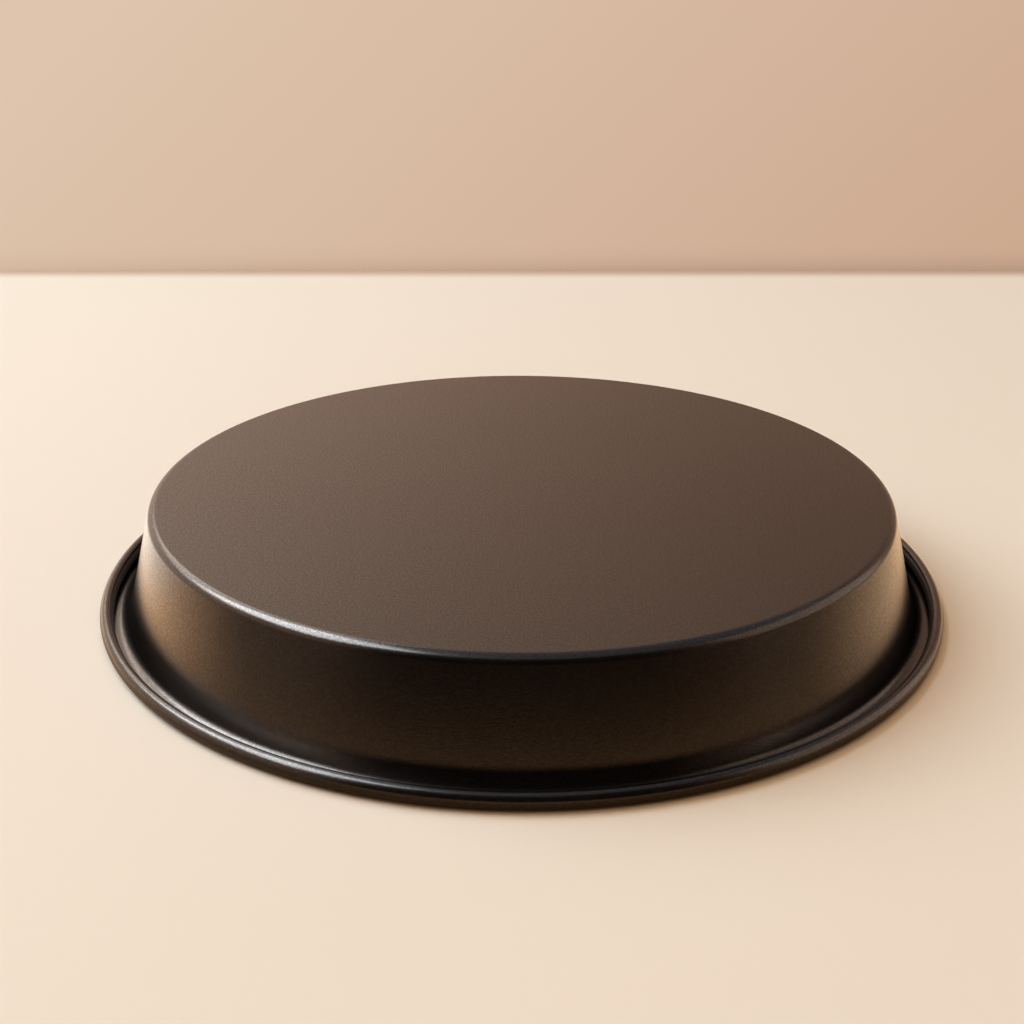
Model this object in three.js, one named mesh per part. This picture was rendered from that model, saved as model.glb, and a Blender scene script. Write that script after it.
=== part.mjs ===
import * as THREE from "three";

// Round non-stick baking dish, drawn from one steel sheet, standing upside down on its rolled rim.
// Millimetres, Z up. The axis runs through the origin and the rim rests on the plane z = 0.

// Drawn shell
const height = 36; // from the rim's resting plane to the outside of the base
const baseDiameter = 243.8; // where the base plane and the wall line would cross
const wallTaper = 14.2; // degrees that the wall leans outwards on its way to the rim
const sheet = 0.6; // thickness of the steel sheet
const edgeRadius = 3; // outside rounding between the base and the wall
const flareRadius = 20; // slow outward turn at the foot of the wall
const flareEnd = 30; // degrees from upright where the tight turn takes over
const lipRadius = 3.6; // tight turn from the flare to the level ledge
const lipLedge = 2.7; // flat strip between that turn and the curl
const tuckRadius = 1.6; // tighter end of the curl, where the sheet's edge is tucked in
const tuckStart = 47; // degrees above level, on the curl, where it tightens
const tuckEnd = 148; // degrees where the sheet ends

// Reinforcing wire inside the curl
const wireDiameter = 3.2;
const wireSeatGap = 0.3; // clearance where the wire is seated
const wirePlay = 1; // room left across the curl on the far side of the seat
const wireSeatAngle = -45; // degrees, the seat is at the lower outside of the curl
const wireEndGap = 1; // between the two cut ends of the hoop
const wireEndAngle = 90; // degrees round the axis where the ends meet, at the back

// Fineness of the facets
const turnSegments = 72;
const edgeSteps = 4;
const flareSteps = 3;
const lipSteps = 5;
const curlSteps = 9;
const tuckSteps = 5;
const wireSides = 10;

const toRadians = THREE.MathUtils.degToRad;

// Point on a circle in the section plane, x outwards from the axis and y upwards
function onCircle(centre, radius, degrees) {
  const angle = toRadians(degrees);
  return new THREE.Vector2(centre.x + radius * Math.cos(angle), centre.y + radius * Math.sin(angle));
}

function arc(centre, radius, fromDegrees, toDegrees, steps) {
  const points = [];
  for (let step = 0; step <= steps; step += 1) {
    const degrees = fromDegrees + ((toDegrees - fromDegrees) * step) / steps;
    points.push(onCircle(centre, radius, degrees));
  }
  return points;
}

// Section of the shell. The edge turns the level base into the leaning wall.
const baseRadius = baseDiameter / 2;
const tangentShare = Math.tan(toRadians(90 - wallTaper) / 2);
const edgeCentre = new THREE.Vector2(baseRadius - edgeRadius * tangentShare, height - edgeRadius);

// The flare and the lip together turn the wall to level, ending on the plane z = sheet
const flareRise = flareRadius * (Math.sin(toRadians(flareEnd)) - Math.sin(toRadians(wallTaper)));
const lipRise = lipRadius * (1 - Math.sin(toRadians(flareEnd)));
const flareTop = sheet + flareRise + lipRise;
const wallFootRadius = baseRadius + (height - flareTop) * Math.tan(toRadians(wallTaper));
const wallFoot = new THREE.Vector2(wallFootRadius, flareTop);
const flareCentre = onCircle(wallFoot, flareRadius, wallTaper);
const lipCentre = onCircle(flareCentre, lipRadius - flareRadius, flareEnd);

// The curl leaves room for the wire, and rests on the plane z = 0
const curlRadius = wireDiameter / 2 + wirePlay / 2 + wireSeatGap + sheet;
const curlCentre = new THREE.Vector2(lipCentre.x + lipLedge, curlRadius);
const tuckCentre = onCircle(curlCentre, curlRadius - tuckRadius, tuckStart);

// One face of the sheet from the axis to its cut edge, a depth below the outside face
function sheetFace(depth) {
  return [
    new THREE.Vector2(0, height - depth),
    ...arc(edgeCentre, edgeRadius - depth, 90, wallTaper, edgeSteps),
    ...arc(flareCentre, flareRadius + depth, 180 + wallTaper, 180 + flareEnd, flareSteps),
    ...arc(lipCentre, lipRadius + depth, 180 + flareEnd, 270, lipSteps).slice(1),
    ...arc(curlCentre, curlRadius - sheet + depth, -90, tuckStart, curlSteps),
    ...arc(tuckCentre, tuckRadius - sheet + depth, tuckStart, tuckEnd, tuckSteps).slice(1),
  ];
}

function makePanShell() {
  const outside = sheetFace(0);
  const inside = sheetFace(sheet);
  const geometry = new THREE.LatheGeometry([...inside, ...outside.reverse()], turnSegments);
  geometry.rotateX(Math.PI / 2);
  return geometry;
}

// Level ring about the axis, open between its two ends
class HoopCurve extends THREE.Curve {
  constructor(radius, level, fromAngle, sweep) {
    super();
    this.radius = radius;
    this.level = level;
    this.fromAngle = fromAngle;
    this.sweep = sweep;
  }

  getPoint(share, target = new THREE.Vector3()) {
    const angle = this.fromAngle + this.sweep * share;
    return target.set(this.radius * Math.cos(angle), this.radius * Math.sin(angle), this.level);
  }
}

function makeRimWire() {
  const seat = onCircle(curlCentre, wirePlay / 2, wireSeatAngle);
  const gapAngle = wireEndGap / seat.x;
  const fromAngle = toRadians(wireEndAngle) + gapAngle / 2;
  const path = new HoopCurve(seat.x, seat.y, fromAngle, 2 * Math.PI - gapAngle);
  const section = new THREE.Shape();
  section.absarc(0, 0, wireDiameter / 2, 0, 2 * Math.PI);
  return new THREE.ExtrudeGeometry(section, {
    steps: turnSegments,
    curveSegments: wireSides / 2,
    extrudePath: path,
  });
}

const nonStickCoating = new THREE.MeshStandardMaterial({
  color: 0x3a332e,
  roughness: 0.42,
  metalness: 0,
});

const blackAnnealedSteel = new THREE.MeshStandardMaterial({
  color: 0x4a4744,
  roughness: 0.55,
  metalness: 0.8,
});

const panShell = new THREE.Mesh(makePanShell(), nonStickCoating);
panShell.name = "pan_shell";

const rimWire = new THREE.Mesh(makeRimWire(), blackAnnealedSteel);
rimWire.name = "rim_wire";

const bakingDish = new THREE.Group();
bakingDish.add(panShell, rimWire);

export default bakingDish;
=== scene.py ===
import math

import bpy
import numpy as np
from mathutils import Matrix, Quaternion, Vector


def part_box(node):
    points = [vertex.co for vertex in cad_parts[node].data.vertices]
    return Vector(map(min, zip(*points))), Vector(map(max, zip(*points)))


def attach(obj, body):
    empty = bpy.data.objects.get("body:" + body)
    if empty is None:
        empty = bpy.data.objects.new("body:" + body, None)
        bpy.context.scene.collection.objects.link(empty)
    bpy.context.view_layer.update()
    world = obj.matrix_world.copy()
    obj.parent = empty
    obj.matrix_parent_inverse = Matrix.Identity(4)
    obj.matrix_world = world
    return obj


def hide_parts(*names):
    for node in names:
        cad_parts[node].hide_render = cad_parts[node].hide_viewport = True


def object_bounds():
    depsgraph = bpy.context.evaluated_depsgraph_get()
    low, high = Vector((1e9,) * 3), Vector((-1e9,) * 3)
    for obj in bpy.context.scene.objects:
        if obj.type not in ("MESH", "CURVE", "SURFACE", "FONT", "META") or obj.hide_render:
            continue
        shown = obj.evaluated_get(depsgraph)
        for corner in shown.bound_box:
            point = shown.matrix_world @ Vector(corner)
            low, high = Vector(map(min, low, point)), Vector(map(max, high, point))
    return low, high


mm = 0.001  # metres in a millimetre
noiseSpan = (0.3, 0.7)  # where nearly all values of a noise lie
colorA, colorB, mixed = 6, 7, 2  # a mix node's two colour sockets and its colour output

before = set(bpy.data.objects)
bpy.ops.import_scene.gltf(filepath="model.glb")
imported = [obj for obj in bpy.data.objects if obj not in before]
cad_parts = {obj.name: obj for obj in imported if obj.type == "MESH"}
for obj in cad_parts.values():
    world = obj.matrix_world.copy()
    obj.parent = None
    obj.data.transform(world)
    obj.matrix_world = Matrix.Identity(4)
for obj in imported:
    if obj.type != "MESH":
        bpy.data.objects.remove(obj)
cadLow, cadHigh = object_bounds()
scene = bpy.context.scene
scene.view_settings.view_transform = "Standard"
print("frame loaded:", sorted(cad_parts))


# Colour: an sRGB hex value to linear red, green, blue and alpha
def linear(hexValue):
    srgb = np.array([int(hexValue[i:i + 2], 16) for i in (1, 3, 5)]) / 255
    low = srgb / 12.92
    high = ((srgb + 0.055) / 1.055) ** 2.4
    return (*np.where(srgb <= 0.04045, low, high).tolist(), 1.0)


# A node with its settings, and its sockets, by name or in order, as values or as (node, output) links
def addNode(tree, kind, sockets=(), **settings):
    node = tree.nodes.new(kind)
    for name, value in settings.items():
        setattr(node, name, value)
    named = sockets if isinstance(sockets, dict) else dict(enumerate(sockets))
    for name, value in named.items():
        if isinstance(value, tuple) and isinstance(value[0], bpy.types.Node):
            tree.links.new(value[0].outputs[value[1]], node.inputs[name])
        else:
            node.inputs[name].default_value = value
    return node


def newMaterial(name):
    material = bpy.data.materials.new(name)
    material.use_nodes = True
    material.node_tree.nodes.clear()
    return material, material.node_tree


def addMesh(name, points, faces, material):
    mesh = bpy.data.meshes.new(name)
    mesh.from_pydata(points.tolist(), [], faces)
    mesh.validate()
    mesh.polygons.foreach_set("use_smooth", np.ones(len(mesh.polygons), bool))
    mesh.materials.append(material)
    mesh.update()
    piece = bpy.data.objects.new(name, mesh)
    scene.collection.objects.link(piece)
    return piece


# Camera: a 50 mm lens on a 36 mm frame, placed by matching the outline of base and rim
view = {
    "lens": 50.0,  # mm
    "sensor": 36.0,  # mm
    "place": (0.0, -443.7 * mm, 210.4 * mm),
    "lookAt": (-3.2 * mm, 0.0, 25.1 * mm),
    "roll": 0.145,  # degrees
    "nearest": 10 * mm,  # what is closer isn't drawn
}


def makeCamera():
    data = bpy.data.cameras.new("camera")
    data.lens = view["lens"]
    data.sensor_width = view["sensor"]
    data.clip_start = view["nearest"]
    camera = bpy.data.objects.new("camera", data)
    scene.collection.objects.link(camera)
    camera.location = view["place"]
    aim = Vector(view["lookAt"]) - camera.location
    camera.rotation_mode = "QUATERNION"
    turn = Quaternion((0, 0, 1), math.radians(view["roll"]))
    camera.rotation_quaternion = aim.to_track_quat("-Z", "Y") @ turn
    scene.camera = camera


makeCamera()
print("camera set")

# Drawn shell. Height and rim come from the frame, the rest are real sizes.
shell = {
    "sheet": 0.6 * mm,
    "baseRadius": 121.9 * mm,  # where the base plane and the wall line would cross
    "wallTaper": 14.2,  # degrees, widening towards the rim
    "edgeRadius": 3.0 * mm,  # outside rounding of the base
    "flareRadius": 20.0 * mm,  # slow turn at the foot of the wall
    "flareEnd": 30.0,  # degrees from upright where the tight turn takes over
    "lipRadius": 3.6 * mm,  # tight turn to the level ledge
    "curlRadius": 3.0 * mm,
    "tuckRadius": 1.6 * mm,  # tighter end of the curl
    "tuckStart": 47.0,  # degrees above level where it tightens
    "tuckEnd": 153.0,  # degrees where the sheet ends
    "fatEdge": 0.38 * mm,  # half width of the coated sheet end, where the film builds up
    "turns": 256,  # steps round the axis
    "baseSteps": 24,  # and along the section
    "edgeSteps": 14,
    "wallSteps": 8,
    "flareSteps": 10,
    "lipSteps": 14,
    "ledgeSteps": 3,
    "curlSteps": 32,
    "tuckSteps": 18,
    "knobSteps": 20,
}


# Points on a circle in the section plane, column 0 outwards and column 1 upwards
def arc(centre, radius, fromDegrees, toDegrees, steps):
    angle = np.radians(np.linspace(fromDegrees, toDegrees, steps + 1))
    return np.stack([centre[0] + radius * np.cos(angle), centre[1] + radius * np.sin(angle)], 1)


# Straight stretch without its ends, with a tight support point near each end
def straight(start, end, steps, support=0.25 * mm):
    start, end = np.array(start), np.array(end)
    near = support / np.linalg.norm(end - start)
    share = np.concatenate([[near], np.linspace(0, 1, steps + 1)[1:-1], [1 - near]])
    return start + share[:, None] * (end - start)


# Step of length 1 in the section plane, at an angle above outwards
def heading(degrees):
    return np.array([math.cos(math.radians(degrees)), math.sin(math.radians(degrees))])


# The sheet's section: base, edge rounding, leaning wall, flare, tight lip, level ledge, curl and tuck, each
# tangent to the next. The inside face is the outside one shifted by the sheet, so radii grow or shrink.
def shellSection():
    sheet, taper, flareEnd = shell["sheet"], shell["wallTaper"], shell["flareEnd"]
    lean, turned = math.radians(taper), math.radians(flareEnd)
    tangentShare = math.tan((math.pi / 2 - lean) / 2)
    edgeInset = shell["edgeRadius"] * tangentShare
    edgeCentre = np.array([shell["baseRadius"] - edgeInset, cadHigh.z - shell["edgeRadius"]])
    flareTop = (sheet + shell["flareRadius"] * (math.sin(turned) - math.sin(lean))
                + shell["lipRadius"] * (1 - math.sin(turned)))
    wallFoot = np.array([shell["baseRadius"] + (cadHigh.z - flareTop) * math.tan(lean), flareTop])
    flareCentre = wallFoot + shell["flareRadius"] * heading(taper)
    lipCentre = flareCentre + (shell["lipRadius"] - shell["flareRadius"]) * heading(flareEnd)
    curlCentre = np.array([cadHigh.x - shell["curlRadius"], shell["curlRadius"]])
    tuckStart = shell["tuckStart"]
    tuckCentre = curlCentre + (shell["curlRadius"] - shell["tuckRadius"]) * heading(tuckStart)
    middle = shell["tuckRadius"] - sheet / 2
    knobAngle = shell["tuckEnd"] - math.degrees(shell["fatEdge"] / middle)
    neck = math.sqrt(shell["fatEdge"] ** 2 - (sheet / 2) ** 2)  # where the knob meets the sheet's faces
    tuckEnd = knobAngle - math.degrees(neck / middle)

    def face(depth):
        axisPoint = np.array([[0, cadHigh.z - depth]])
        edge = arc(edgeCentre, shell["edgeRadius"] - depth, 90, taper, shell["edgeSteps"])
        flareRadius, lipRadius = shell["flareRadius"] + depth, shell["lipRadius"] + depth
        flare = arc(flareCentre, flareRadius, 180 + taper, 180 + flareEnd, shell["flareSteps"])
        lip = arc(lipCentre, lipRadius, 180 + flareEnd, 270, shell["lipSteps"])
        hollow = depth - sheet  # the curl turns the other way, so its outside face is the hollow one
        curl = arc(curlCentre, shell["curlRadius"] + hollow, -90, tuckStart, shell["curlSteps"])
        tuck = arc(tuckCentre, shell["tuckRadius"] + hollow, tuckStart, tuckEnd, shell["tuckSteps"])
        return np.concatenate([
            axisPoint,
            straight(axisPoint[0], edge[0], shell["baseSteps"]),
            edge,
            straight(edge[-1], flare[0], shell["wallSteps"]),
            flare,
            lip[1:],
            straight(lip[-1], curl[0], shell["ledgeSteps"]),
            curl,
            tuck[1:],
        ])

    # Sheet end: a knob of film round the cut, from the curl's outer face over the end to its hollow face
    knobCentre = tuckCentre + middle * heading(knobAngle)
    start = -math.degrees(math.asin(neck / shell["fatEdge"]))
    knob = arc(knobCentre, shell["fatEdge"], knobAngle + start, knobAngle + 180 - start, shell["knobSteps"])
    outside, inside = face(0), face(sheet)
    return np.concatenate([inside[:-1], knob, outside[-2::-1]])


# Surface of revolution: each section point at radius r and height z goes round as
# (r cos a, r sin a, z). The first and last points lie on the axis and close as poles.
def revolve(section, turns):
    angle = np.linspace(0, 2 * np.pi, turns, endpoint=False)
    rings = section[1:-1]
    x = rings[:, :1] * np.cos(angle)
    y = rings[:, :1] * np.sin(angle)
    z = np.repeat(rings[:, 1:], turns, 1)
    body = np.stack([x, y, z], -1).reshape(-1, 3)
    poles = np.array([[0, 0, section[0, 1]], [0, 0, section[-1, 1]]])
    points = np.concatenate([body, poles])
    step = np.arange(turns)
    after = (step + 1) % turns
    row = np.arange(len(rings) - 1)[:, None] * turns
    quads = np.stack([row + step, row + after, row + turns + after, row + turns + step], -1).reshape(-1, 4)
    firstPole, lastPole = len(body), len(body) + 1
    lastRow = (len(rings) - 1) * turns
    firstFan = np.stack([np.full(turns, firstPole), after, step], -1)
    lastFan = np.stack([np.full(turns, lastPole), lastRow + step, lastRow + after], -1)
    return points, quads.tolist() + firstFan.tolist() + lastFan.tolist()


# Non-stick coating: pigmented fluoropolymer sprayed and baked on steel. A brown-black satin, nearly black
# where it faces the eye and pale at a slant, with the fine pebble of the spray, whose crests are glossier.
coating = {
    "dark": "#040302",
    "light": "#0d0906",
    "warmth": "#ffebda",  # tint of what it mirrors face on
    "ior": 1.42,
    "roughness": 0.235,
    "roughnessSpread": 0.02,  # between one blotch and the next
    "pebble": 0.58 * mm,  # drawn at about twice the real size so that it shows
    "pebbleHeight": 0.02 * mm,
    "pebbleDetail": 1.0,  # finer grains on each pebble, in octaves
    "pebbleFineness": 0.6,  # and how much they show
    "crestGloss": 0.36,  # weight of the clear film on the crests
    "crestSpan": (0.45, 0.62),  # share of the pebble's height over which it sets in
    "blotch": 35 * mm,  # patches that differ a little in gloss
    "blotchDetail": 3.0,
}


def makeCoating():
    material, tree = newMaterial("nonStickCoating")
    place = addNode(tree, "ShaderNodeTexCoord")
    pebble = addNode(tree, "ShaderNodeTexNoise", {
        "Vector": (place, "Object"), "Scale": 1 / coating["pebble"],
        "Detail": coating["pebbleDetail"], "Roughness": coating["pebbleFineness"]})
    blotch = addNode(tree, "ShaderNodeTexNoise", {
        "Vector": (place, "Object"), "Scale": 1 / coating["blotch"], "Detail": coating["blotchDetail"]})
    grain = addNode(tree, "ShaderNodeMapRange", [(pebble, "Fac"), *noiseSpan])
    tint = addNode(tree, "ShaderNodeMix", {
        "Factor": (grain, 0), colorA: linear(coating["dark"]), colorB: linear(coating["light"])},
        data_type="RGBA")
    rough, spread = coating["roughness"], coating["roughnessSpread"]
    sheen = addNode(tree, "ShaderNodeMapRange", [
        (blotch, "Fac"), *noiseSpan, rough - spread, rough + spread])
    crest = addNode(tree, "ShaderNodeMapRange", [
        (pebble, "Fac"), *coating["crestSpan"], 0.0, coating["crestGloss"]])
    bump = addNode(tree, "ShaderNodeBump", {
        "Height": (pebble, "Fac"), "Strength": 1.0, "Distance": coating["pebbleHeight"]})
    film = addNode(tree, "ShaderNodeBsdfPrincipled", {
        "Base Color": (tint, mixed), "Roughness": (sheen, 0), "IOR": coating["ior"], "Normal": (bump, 0),
        "Specular Tint": linear(coating["warmth"]), "Coat Weight": (crest, 0), "Coat IOR": coating["ior"],
        "Coat Roughness": rough})
    addNode(tree, "ShaderNodeOutputMaterial", {"Surface": (film, 0)})
    return material


def makePanShell():
    points, faces = revolve(shellSection(), shell["turns"])
    piece = addMesh("panShell", points, faces, makeCoating())
    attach(piece, "root")
    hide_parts("pan_shell")
    return piece


makePanShell()
print("pan shell made")

# Wire hoop in the curl. Its place and thickness come from the frame.
wire = {
    "endGap": 1.0 * mm,
    "endAngle": 90.0,  # degrees round the axis where the cut ends meet
    "endShare": 0.86,  # the cut end's face, as a share of the thickness
    "endBevel": 0.1,  # length of the bevel there, as a share of the tube's radius
    "sides": 24,
    "turns": 256,
    "color": "#2b2927",
    "scale": "#3a3633",
    "roughness": 0.55,
    "roughnessSpread": 0.1,
    "metallic": 0.8,
    "scaleSize": 1.5 * mm,
    "scaleDetail": 4.0,
}


# Black annealed steel wire: drawn, then heated, so it carries a dull dark scale
def makeAnnealedSteel():
    material, tree = newMaterial("blackAnnealedSteel")
    place = addNode(tree, "ShaderNodeTexCoord")
    flakes = addNode(tree, "ShaderNodeTexNoise", {
        "Vector": (place, "Object"), "Scale": 1 / wire["scaleSize"], "Detail": wire["scaleDetail"]})
    tint = addNode(tree, "ShaderNodeMix", {
        "Factor": (flakes, "Fac"), colorA: linear(wire["color"]), colorB: linear(wire["scale"])},
        data_type="RGBA")
    rough, spread = wire["roughness"], wire["roughnessSpread"]
    sheen = addNode(tree, "ShaderNodeMapRange", {
        "Value": (flakes, "Fac"), "To Min": rough - spread, "To Max": rough + spread})
    steel = addNode(tree, "ShaderNodeBsdfPrincipled", {
        "Base Color": (tint, mixed), "Roughness": (sheen, 0), "Metallic": wire["metallic"]})
    addNode(tree, "ShaderNodeOutputMaterial", {"Surface": (steel, 0)})
    return material


# Tube round a level open ring: centre circle of radius c, tube circle of radius q at tube angle b,
# so a point is ((c + q cos b) cos a, (c + q cos b) sin a, level + q sin b). q shrinks at the bevelled ends.
def makeRimWire():
    low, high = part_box("rim_wire")
    tube = (high.z - low.z) / 2
    centreRadius = high.x - tube
    level = (high.z + low.z) / 2
    gap = wire["endGap"] / centreRadius
    start = math.radians(wire["endAngle"]) + gap / 2
    ringAngle = start + np.linspace(0, 2 * np.pi - gap, wire["turns"] + 1)
    ringAngle = np.concatenate([ringAngle[:1], ringAngle, ringAngle[-1:]])
    endTube = [wire["endShare"] * tube]
    thickness = np.concatenate([endTube, np.full(wire["turns"] + 1, tube), endTube])
    inset = wire["endBevel"] * tube / centreRadius
    ringAngle[1] += inset
    ringAngle[-2] -= inset
    tubeAngle = np.linspace(0, 2 * np.pi, wire["sides"], endpoint=False)
    radius = centreRadius + thickness[:, None] * np.cos(tubeAngle)
    z = level + thickness[:, None] * np.sin(tubeAngle)
    x = radius * np.cos(ringAngle)[:, None]
    y = radius * np.sin(ringAngle)[:, None]
    points = np.stack([x, y, z], -1).reshape(-1, 3)
    step = np.arange(wire["sides"])
    after = (step + 1) % wire["sides"]
    row = np.arange(len(ringAngle) - 1)[:, None] * wire["sides"]
    quads = np.stack([row + step, row + wire["sides"] + step, row + wire["sides"] + after, row + after], -1)
    lastRow = (len(ringAngle) - 1) * wire["sides"]
    caps = [step.tolist(), (lastRow + step[::-1]).tolist()]
    piece = addMesh("rimWire", points, quads.reshape(-1, 4).tolist() + caps, makeAnnealedSteel())
    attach(piece, "root")
    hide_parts("rim_wire")
    return piece


makeRimWire()
print("rim wire made")

# Table of pale paper that ends behind the object. Lengths are in metres.
table = {
    "paper": "#f7ebdd",
    "roughness": 0.8,
    "gloss": 0.2,
    "edgeShadeTone": "#c1a48b",  # painted shade at its far edge, where the paper seems to roll away from the light
    "edgeWidth": 0.0245,
    "mirrored": "#96795a",  # painted reflection: the paper as reflections see it, darker in front
    "glowLeft": "#ffca97",  # painted glow that reflections see more of at the sides, near the light
    "glowLeftBack": "#fff0e2",  # cooler beyond the object's axis
    "glowLeftSpan": (-0.03, 0.03),  # in Y, from the one to the other
    "glowRight": "#ffd3a6",
    "glowLeftLevel": 1.52,
    "glowRightLevel": 0.96,
    "glowFrontLevel": 0.6,  # just in front of the object
    "glowFrontSides": 0.22,  # and on both sides of that
    "glowAcross": 0.15,  # in X to each side, from the left glow to the right one
    "glowBackSpan": (-0.155, -0.02),  # in Y, where the side glow sets in
    "glowFrontSpan": (-0.5, -0.2),  # in Y, where the front glow does
    "glowFrontWidth": 0.2,  # in X to each side
    "fadeNear": 1.4,  # all that reflections see fades from this share close to the object
    "fadeFar": 0.3,  # to this one at the reach
    "fadeReach": 0.28,
    "contact": 0.023,  # width of the shade round the rim
    "radius": 1.4,
    "steps": 128,
    "back": 0.4664,  # from the object's axis to the far edge
    "backTurn": 1.1,  # degrees that this edge is turned
    "drop": 0.05 * mm,  # below the rim
}
backSlope = math.tan(math.radians(table["backTurn"]))


# Uncoated paper, pale and matt. Reflections see it through a painted reflection tone, darker in front, and a
# painted glow, brighter at the sides.
def makePaper():
    material, tree = newMaterial("tablePaper")
    place = addNode(tree, "ShaderNodeTexCoord")
    axes = addNode(tree, "ShaderNodeSeparateXYZ", {"Vector": (place, "Object")})
    path = addNode(tree, "ShaderNodeLightPath")
    rim, far = cadHigh.x, table["back"]

    # Painted shade at the far edge, along the turned line
    along = addNode(tree, "ShaderNodeMath", [(axes, "X"), -backSlope, (axes, "Y")], operation="MULTIPLY_ADD")
    farEdgeShade = addNode(tree, "ShaderNodeMapRange", [
        (along, 0), far - table["edgeWidth"], far], interpolation_type="SMOOTHSTEP")
    sheetTone = addNode(tree, "ShaderNodeMix", {
        "Factor": (farEdgeShade, 0), colorA: linear(table["paper"]), colorB: linear(table["edgeShadeTone"])},
        data_type="RGBA")

    # What reflections see, the painted tone and the painted glow, fades with the distance from the rim
    away = addNode(tree, "ShaderNodeVectorMath", [(place, "Object")], operation="LENGTH")
    fade = addNode(tree, "ShaderNodeMapRange", [
        (away, "Value"), rim, rim + table["fadeReach"], table["fadeNear"], table["fadeFar"]])
    mirroredTone = addNode(tree, "ShaderNodeVectorMath", {
        0: linear(table["mirrored"])[:3], "Scale": (fade, 0)}, operation="SCALE")
    tone = addNode(tree, "ShaderNodeMix", {
        "Factor": (path, "Is Glossy Ray"), colorA: (sheetTone, mixed), colorB: (mirroredTone, 0)},
        data_type="RGBA")

    # Painted glow of the sides, seen only by reflections, from the left tone to the right one
    across = addNode(tree, "ShaderNodeMapRange", [(axes, "X"), -table["glowAcross"], table["glowAcross"]])
    behind = addNode(tree, "ShaderNodeMapRange", [(axes, "Y"), *table["glowLeftSpan"]])
    leftTone = addNode(tree, "ShaderNodeMix", {
        "Factor": (behind, 0), colorA: linear(table["glowLeft"]), colorB: linear(table["glowLeftBack"])},
        data_type="RGBA")
    glowTone = addNode(tree, "ShaderNodeMix", {
        "Factor": (across, 0), colorA: (leftTone, mixed), colorB: linear(table["glowRight"])},
        data_type="RGBA")
    sideLevel = addNode(tree, "ShaderNodeMapRange", {
        "Value": (across, 0), "To Min": table["glowLeftLevel"], "To Max": table["glowRightLevel"]})
    back = addNode(tree, "ShaderNodeMapRange", [
        (axes, "Y"), *table["glowBackSpan"]], interpolation_type="SMOOTHSTEP")
    side = addNode(tree, "ShaderNodeMath", [(sideLevel, 0), (back, 0)], operation="MULTIPLY")

    # Painted glow in front, and the painted shade that the rim leaves on both
    aside = addNode(tree, "ShaderNodeMath", [(axes, "X")], operation="ABSOLUTE")
    frontLevel = addNode(tree, "ShaderNodeMapRange", [
        (aside, 0), 0.0, table["glowFrontWidth"], table["glowFrontLevel"], table["glowFrontSides"]])
    front = addNode(tree, "ShaderNodeMapRange", [(axes, "Y"), *table["glowFrontSpan"], 0.0, (frontLevel, 0)])
    glow = addNode(tree, "ShaderNodeMath", [(side, 0), (front, 0)], operation="MAXIMUM")
    clear = addNode(tree, "ShaderNodeMapRange", [(away, "Value"), rim, rim + table["contact"]])
    for share in ((clear, 0), (fade, 0), (path, "Is Glossy Ray")):
        glow = addNode(tree, "ShaderNodeMath", [(glow, 0), share], operation="MULTIPLY")

    paper = addNode(tree, "ShaderNodeBsdfPrincipled", {
        "Base Color": (tone, mixed), "Roughness": table["roughness"], "Specular IOR Level": table["gloss"],
        "Emission Color": (glowTone, mixed), "Emission Strength": (glow, 0)})
    addNode(tree, "ShaderNodeOutputMaterial", {"Surface": (paper, 0)})
    return material


# Table outline: a circle of radius r, x = r cos a and y = r sin a, cut off straight at the back
def makeFloor():
    radius, level = table["radius"], cadLow.z - table["drop"]
    start = math.asin(table["back"] / radius)
    angle = np.linspace(math.pi - start, 2 * math.pi + start, table["steps"] + 1)
    x, y = radius * np.cos(angle), radius * np.sin(angle)
    y[[0, -1]] += x[[0, -1]] * backSlope  # the two ends of the straight cut
    points = np.stack([x, y, np.full_like(x, level)], 1)
    floor = addMesh("tableFloor", points, [list(range(len(points)))], makePaper())


makeFloor()
print("table laid")

# Dark screen before the object, which only reflections see. Lengths are in metres.
flag = {
    "color": "#0c0908",
    "distance": 0.75,  # from the object's axis
    "height": 0.9,
    "sweep": 116.0,  # degrees round the axis
    "fade": 0.22,  # stretch at each side over which it thins out
    "steps": 24,
}


# Dark dull screen that thins out towards both sides: a painted dark reflection, since nothing but reflections
# sees it
def makeFlagCloth():
    material, tree = newMaterial("darkFlag")
    place = addNode(tree, "ShaderNodeTexCoord")
    axes = addNode(tree, "ShaderNodeSeparateXYZ", {"Vector": (place, "Object")})
    aside = addNode(tree, "ShaderNodeMath", [(axes, "X")], operation="ABSOLUTE")
    outermost = flag["distance"] * math.sin(math.radians(flag["sweep"] / 2))
    thin = addNode(tree, "ShaderNodeMapRange", [
        (aside, 0), outermost - flag["fade"], outermost], interpolation_type="SMOOTHSTEP")
    cloth = addNode(tree, "ShaderNodeBsdfPrincipled", {
        "Base Color": linear(flag["color"]), "Roughness": 1.0})
    gap = addNode(tree, "ShaderNodeBsdfTransparent")
    veil = addNode(tree, "ShaderNodeMixShader", [(thin, 0), (cloth, 0), (gap, 0)])
    addNode(tree, "ShaderNodeOutputMaterial", {"Surface": (veil, 0)})
    return material


# Upright curved screen: x = d sin a, y = -d cos a, with a swept evenly to both sides of the camera
def makeFlag():
    steps = flag["steps"]
    angle = np.radians(np.linspace(-0.5, 0.5, steps + 1) * flag["sweep"])
    x = flag["distance"] * np.sin(angle)
    y = -flag["distance"] * np.cos(angle)
    foot = np.stack([x, y, np.zeros_like(x)], 1)
    top = foot + [0, 0, flag["height"]]
    step = np.arange(steps)
    quads = np.stack([step, step + 1, step + steps + 2, step + steps + 1], 1)
    screen = addMesh("darkFlag", np.concatenate([foot, top]), quads.tolist(), makeFlagCloth())
    screen.visible_camera = False
    screen.visible_diffuse = False
    screen.visible_shadow = False


makeFlag()
print("dark screen set")

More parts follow.
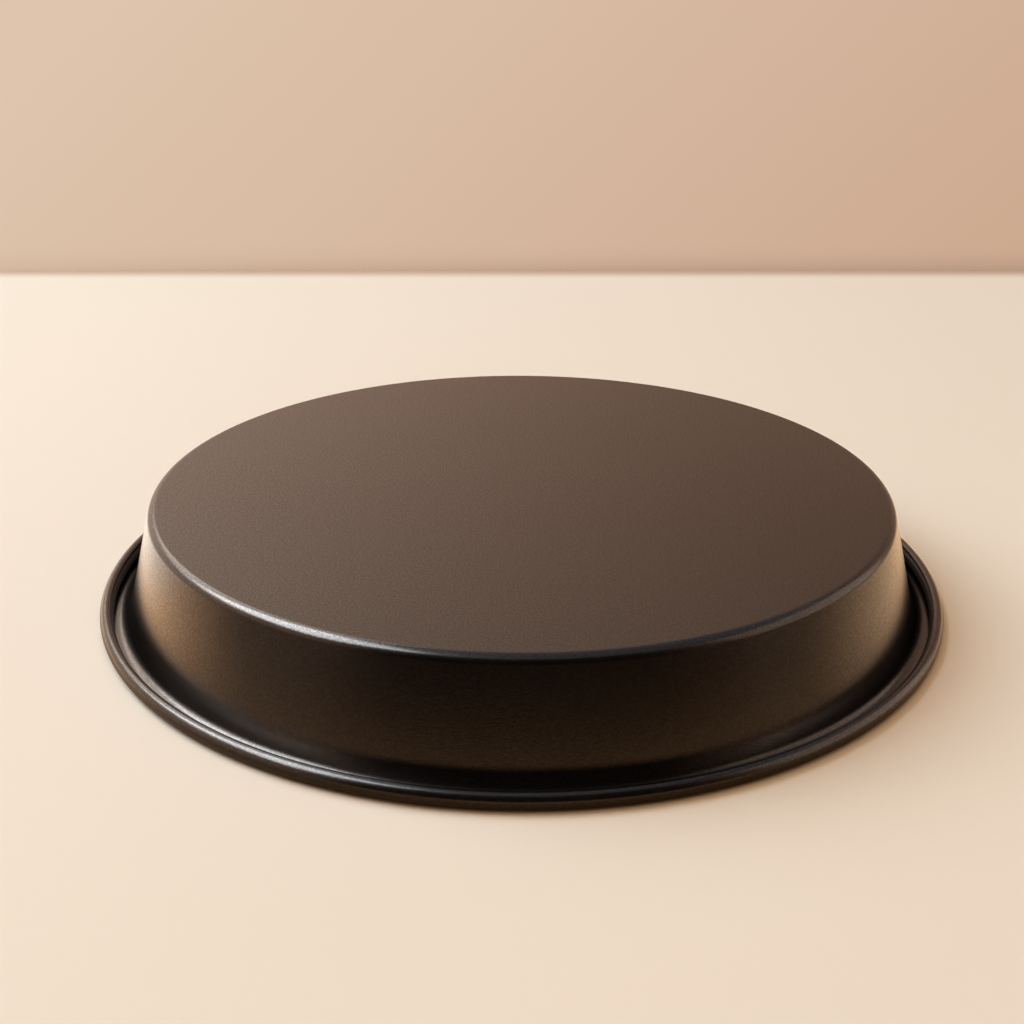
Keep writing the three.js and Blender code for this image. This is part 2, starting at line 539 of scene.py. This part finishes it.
# Surroundings that brighten towards the key, the direction of the soft box
room = {
    "keyTurn": 173.0,  # degrees from +X
    "keyRise": 45.0,  # degrees above level
    "backdropPale": "#dfc5ae",
    "backdropShade": "#cca98f",
    "backdropSpan": (-0.3, 0.25),  # cosines to the key from shade to pale
    "footTone": "#b0907b",  # shade where the backdrop meets the table, mostly on the right
    "footSlopes": (-0.2084, -0.2325),  # slopes of sight between which it sets in
    "footPower": 2.5,
    "footPale": 0.1,  # what is left of it on the pale side
    "footAhead": (0.3, 0.75),  # in Y of the direction, so that it stays at the back
    "wallsFar": "#ffccad",  # what the object mirrors of the room away from the soft box
    "wallsNear": "#ffe1cc",  # and beside it
    "wallsFarLevel": 0.575,
    "wallsNearLevel": 1.55,
    "wallsSpan": (0.2, 0.6),  # cosines to the key from far to near
    "ceiling": "#d3dbee",
    "ceilingLevel": 0.78,
    "ceilingSpan": (0.5, 0.8),  # sines of the rise from walls to ceiling
    "fill": "#ffd09f",
    "fillLevel": 0.255,
}


def toward(turn, rise):
    turn, rise = math.radians(turn), math.radians(rise)
    return Vector((math.cos(rise) * math.cos(turn), math.cos(rise) * math.sin(turn), math.sin(rise)))


# The camera sees the tan backdrop, reflections see walls and ceiling, and other rays take an even warm fill
def makeWorld():
    world = bpy.data.worlds.new("studio")
    scene.world = world
    world.use_nodes = True
    tree = world.node_tree
    tree.nodes.clear()
    place = addNode(tree, "ShaderNodeTexCoord")
    axes = addNode(tree, "ShaderNodeSeparateXYZ", {"Vector": (place, "Generated")})
    path = addNode(tree, "ShaderNodeLightPath")
    key = toward(room["keyTurn"], room["keyRise"])
    toKey = addNode(tree, "ShaderNodeVectorMath", [(place, "Generated"), key], operation="DOT_PRODUCT")

    # Backdrop, with the shade at its foot
    across = addNode(tree, "ShaderNodeMapRange", [(toKey, "Value"), *room["backdropSpan"]])
    tan = addNode(tree, "ShaderNodeMix", {
        "Factor": (across, 0), colorA: linear(room["backdropShade"]), colorB: linear(room["backdropPale"])},
        data_type="RGBA")
    below = addNode(tree, "ShaderNodeMath", [(axes, "Z"), 0.0], operation="MINIMUM")
    slope = addNode(tree, "ShaderNodeMath", [(below, 0), (axes, "Y")], operation="DIVIDE")
    foot = addNode(tree, "ShaderNodeMapRange", [(slope, 0), *room["footSlopes"]])
    shade = addNode(tree, "ShaderNodeMath", [(foot, 0), room["footPower"]], operation="POWER")
    right = addNode(tree, "ShaderNodeMapRange", {
        "Value": (across, 0), "To Min": 1.0, "To Max": room["footPale"]})
    ahead = addNode(tree, "ShaderNodeMapRange", [(axes, "Y"), *room["footAhead"]])
    for share in (right, ahead):
        shade = addNode(tree, "ShaderNodeMath", [(shade, 0), (share, 0)], operation="MULTIPLY")
    backdropTone = addNode(tree, "ShaderNodeMix", {
        "Factor": (shade, 0), colorA: (tan, mixed), colorB: linear(room["footTone"])}, data_type="RGBA")
    backdrop = addNode(tree, "ShaderNodeBackground", {"Color": (backdropTone, mixed), "Strength": 1.0})

    # Walls and ceiling
    near = addNode(tree, "ShaderNodeMapRange", [(toKey, "Value"), *room["wallsSpan"]])
    wallsLevel = addNode(tree, "ShaderNodeMapRange", {
        "Value": (near, 0), "To Min": room["wallsFarLevel"], "To Max": room["wallsNearLevel"]})
    wallsTone = addNode(tree, "ShaderNodeMix", {
        "Factor": (near, 0), colorA: linear(room["wallsFar"]), colorB: linear(room["wallsNear"])},
        data_type="RGBA")
    walls = addNode(tree, "ShaderNodeBackground", {
        "Color": (wallsTone, mixed), "Strength": (wallsLevel, 0)})
    ceiling = addNode(tree, "ShaderNodeBackground", {
        "Color": linear(room["ceiling"]), "Strength": room["ceilingLevel"]})
    above = addNode(tree, "ShaderNodeMapRange", [
        (axes, "Z"), *room["ceilingSpan"]], interpolation_type="SMOOTHSTEP")
    mirrored = addNode(tree, "ShaderNodeMixShader", [(above, 0), (walls, 0), (ceiling, 0)])

    # What each kind of ray sees
    fill = addNode(tree, "ShaderNodeBackground", {
        "Color": linear(room["fill"]), "Strength": room["fillLevel"]})
    byMirror = addNode(tree, "ShaderNodeMixShader", [(path, "Is Glossy Ray"), (fill, 0), (mirrored, 0)])
    bySight = addNode(tree, "ShaderNodeMath", [
        (path, "Is Camera Ray"), (path, "Is Transmission Ray")], operation="MAXIMUM")
    seen = addNode(tree, "ShaderNodeMixShader", [(bySight, 0), (byMirror, 0), (backdrop, 0)])
    addNode(tree, "ShaderNodeOutputWorld", {"Surface": (seen, 0)})


makeWorld()
print("surroundings set")

# Lamps by direction. The soft box is three: one that only lights, and before it a bright core and a pale halo
# that only reflections see. So its mirror image can be as bright as the real box's while the table stays at a
# plain level. Turns and rises are degrees from +X and above level, lengths are in metres.
lamps = {
    "keyLight": {
        "turn": 158.0, "rise": 45.0, "distance": 3.6, "size": (2.87, 3.1), "radiance": 4.4,
        "color": "#e0f4ff", "glossy": False},
    "keyMirrored": {
        "turn": 181.0, "rise": 51.0, "distance": 2.1, "size": (1.95, 1.3), "radiance": 19.5,
        "color": "#dbeafa", "diffuse": False},
    "keyHalo": {
        "turn": 150.0, "rise": 44.0, "distance": 2.15, "size": (2.6, 1.4), "radiance": 3.5,
        "color": "#fff8ee", "diffuse": False},
    "topFill": {
        "turn": 270.0, "rise": 72.0, "distance": 1.8, "size": (1.6, 1.6), "radiance": 1.2,
        "color": "#ffd9b1", "glossy": False},
    "sidePanel": {
        "turn": 0.0, "rise": 20.0, "distance": 1.5, "size": (1.7, 1.2), "radiance": 1.2,
        "color": "#fff0e2", "diffuse": False},
}


def makeLamp(name, spec):
    data = bpy.data.lights.new(name, "AREA")
    data.shape = "RECTANGLE"
    data.size, data.size_y = spec["size"]
    data.energy = spec["radiance"] * math.pi * data.size * data.size_y  # watts of a flat even source
    data.color = linear(spec["color"])[:3]
    lamp = bpy.data.objects.new(name, data)
    scene.collection.objects.link(lamp)
    away = toward(spec["turn"], spec["rise"])
    lamp.location = away * spec["distance"]
    lamp.rotation_mode = "QUATERNION"
    lamp.rotation_quaternion = (-away).to_track_quat("-Z", "Y")
    lamp.visible_glossy = spec.get("glossy", True)
    lamp.visible_diffuse = spec.get("diffuse", True)


for name, spec in lamps.items():
    makeLamp(name, spec)
print("lamps set")
